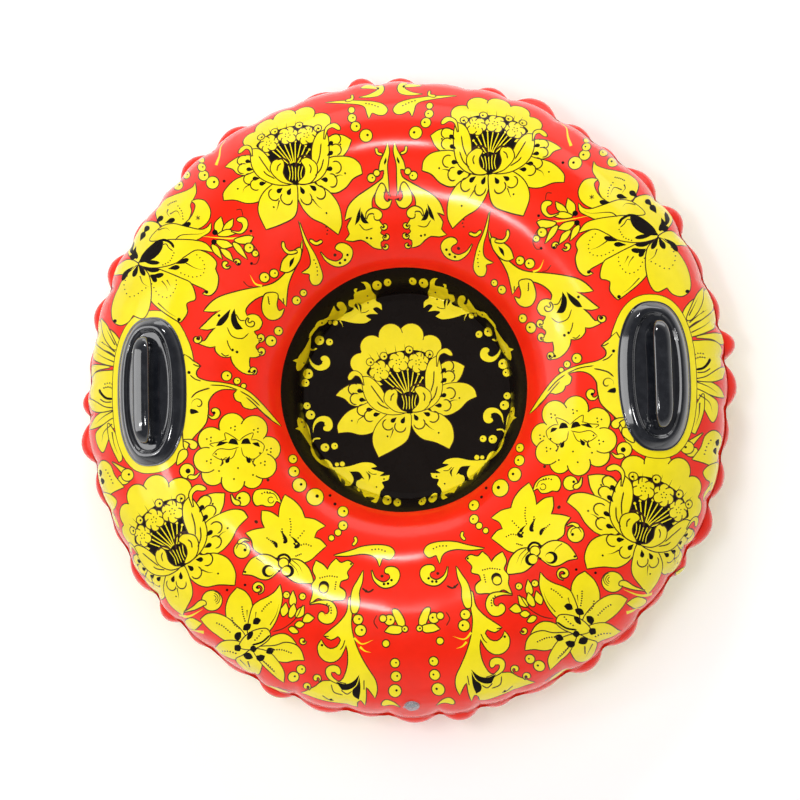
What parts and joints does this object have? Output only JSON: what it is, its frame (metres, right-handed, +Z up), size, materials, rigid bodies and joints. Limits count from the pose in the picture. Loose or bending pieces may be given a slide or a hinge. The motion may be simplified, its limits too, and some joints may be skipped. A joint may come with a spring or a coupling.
{
  "type": "towable tube",
  "caption": "Inflatable PVC ring with a welded seat floor, moulded grip handles on both sides and an air valve at the rim.",
  "frame": {"origin": "on the ground under the ring's axis, the ring lying flat", "axes": "+Z up out of the printed side, +X through the right handle, -Y through the valve"},
  "size_m": [0.9997, 0.9998, 0.3271],
  "materials": {
    "printed_pvc_top": "glossy printed PVC sheet, red with yellow and black ornament",
    "printed_pvc_underside": "glossy printed PVC sheet, red with yellow ornament",
    "printed_pvc_floor": "glossy printed PVC sheet, black with yellow ornament",
    "moulded_black_pvc": "shiny moulded soft PVC",
    "clear_pvc": "clear soft PVC"
  },
  "bodies": {
    "root": {"upper_skin": "printed_pvc_top", "lower_skin": "printed_pvc_underside", "floor_sheet": "printed_pvc_floor", "handle_pad_left": "moulded_black_pvc", "handle_grip_left": "moulded_black_pvc", "handle_pad_right": "moulded_black_pvc", "handle_grip_right": "moulded_black_pvc", "valve_base": "clear_pvc"},
    "valve_neck": {"valve_neck": "clear_pvc"},
    "valve_plug": {"valve_plug": "clear_pvc"},
    "valve_flap": {"valve_flap": "clear_pvc"}
  },
  "joints": [
    {"name": "neck_slide", "type": "slide", "parent": "root", "child": "valve_neck", "axis": [0, -0.8378, 0.5459], "range_m": [0, 0.01]},
    {"name": "plug_hinge", "type": "hinge", "parent": "valve_neck", "child": "valve_plug", "pos_m": [-0.0125, -0.47553, 0.21992], "axis": [0, -0.5459, -0.8378], "range_deg": [0, 150]},
    {"name": "flap_hinge", "type": "hinge", "parent": "valve_neck", "child": "valve_flap", "pos_m": [-0.008, -0.45559, 0.20693], "axis": [0, 0.5459, 0.8378], "range_deg": [0, 60]}
  ]
}
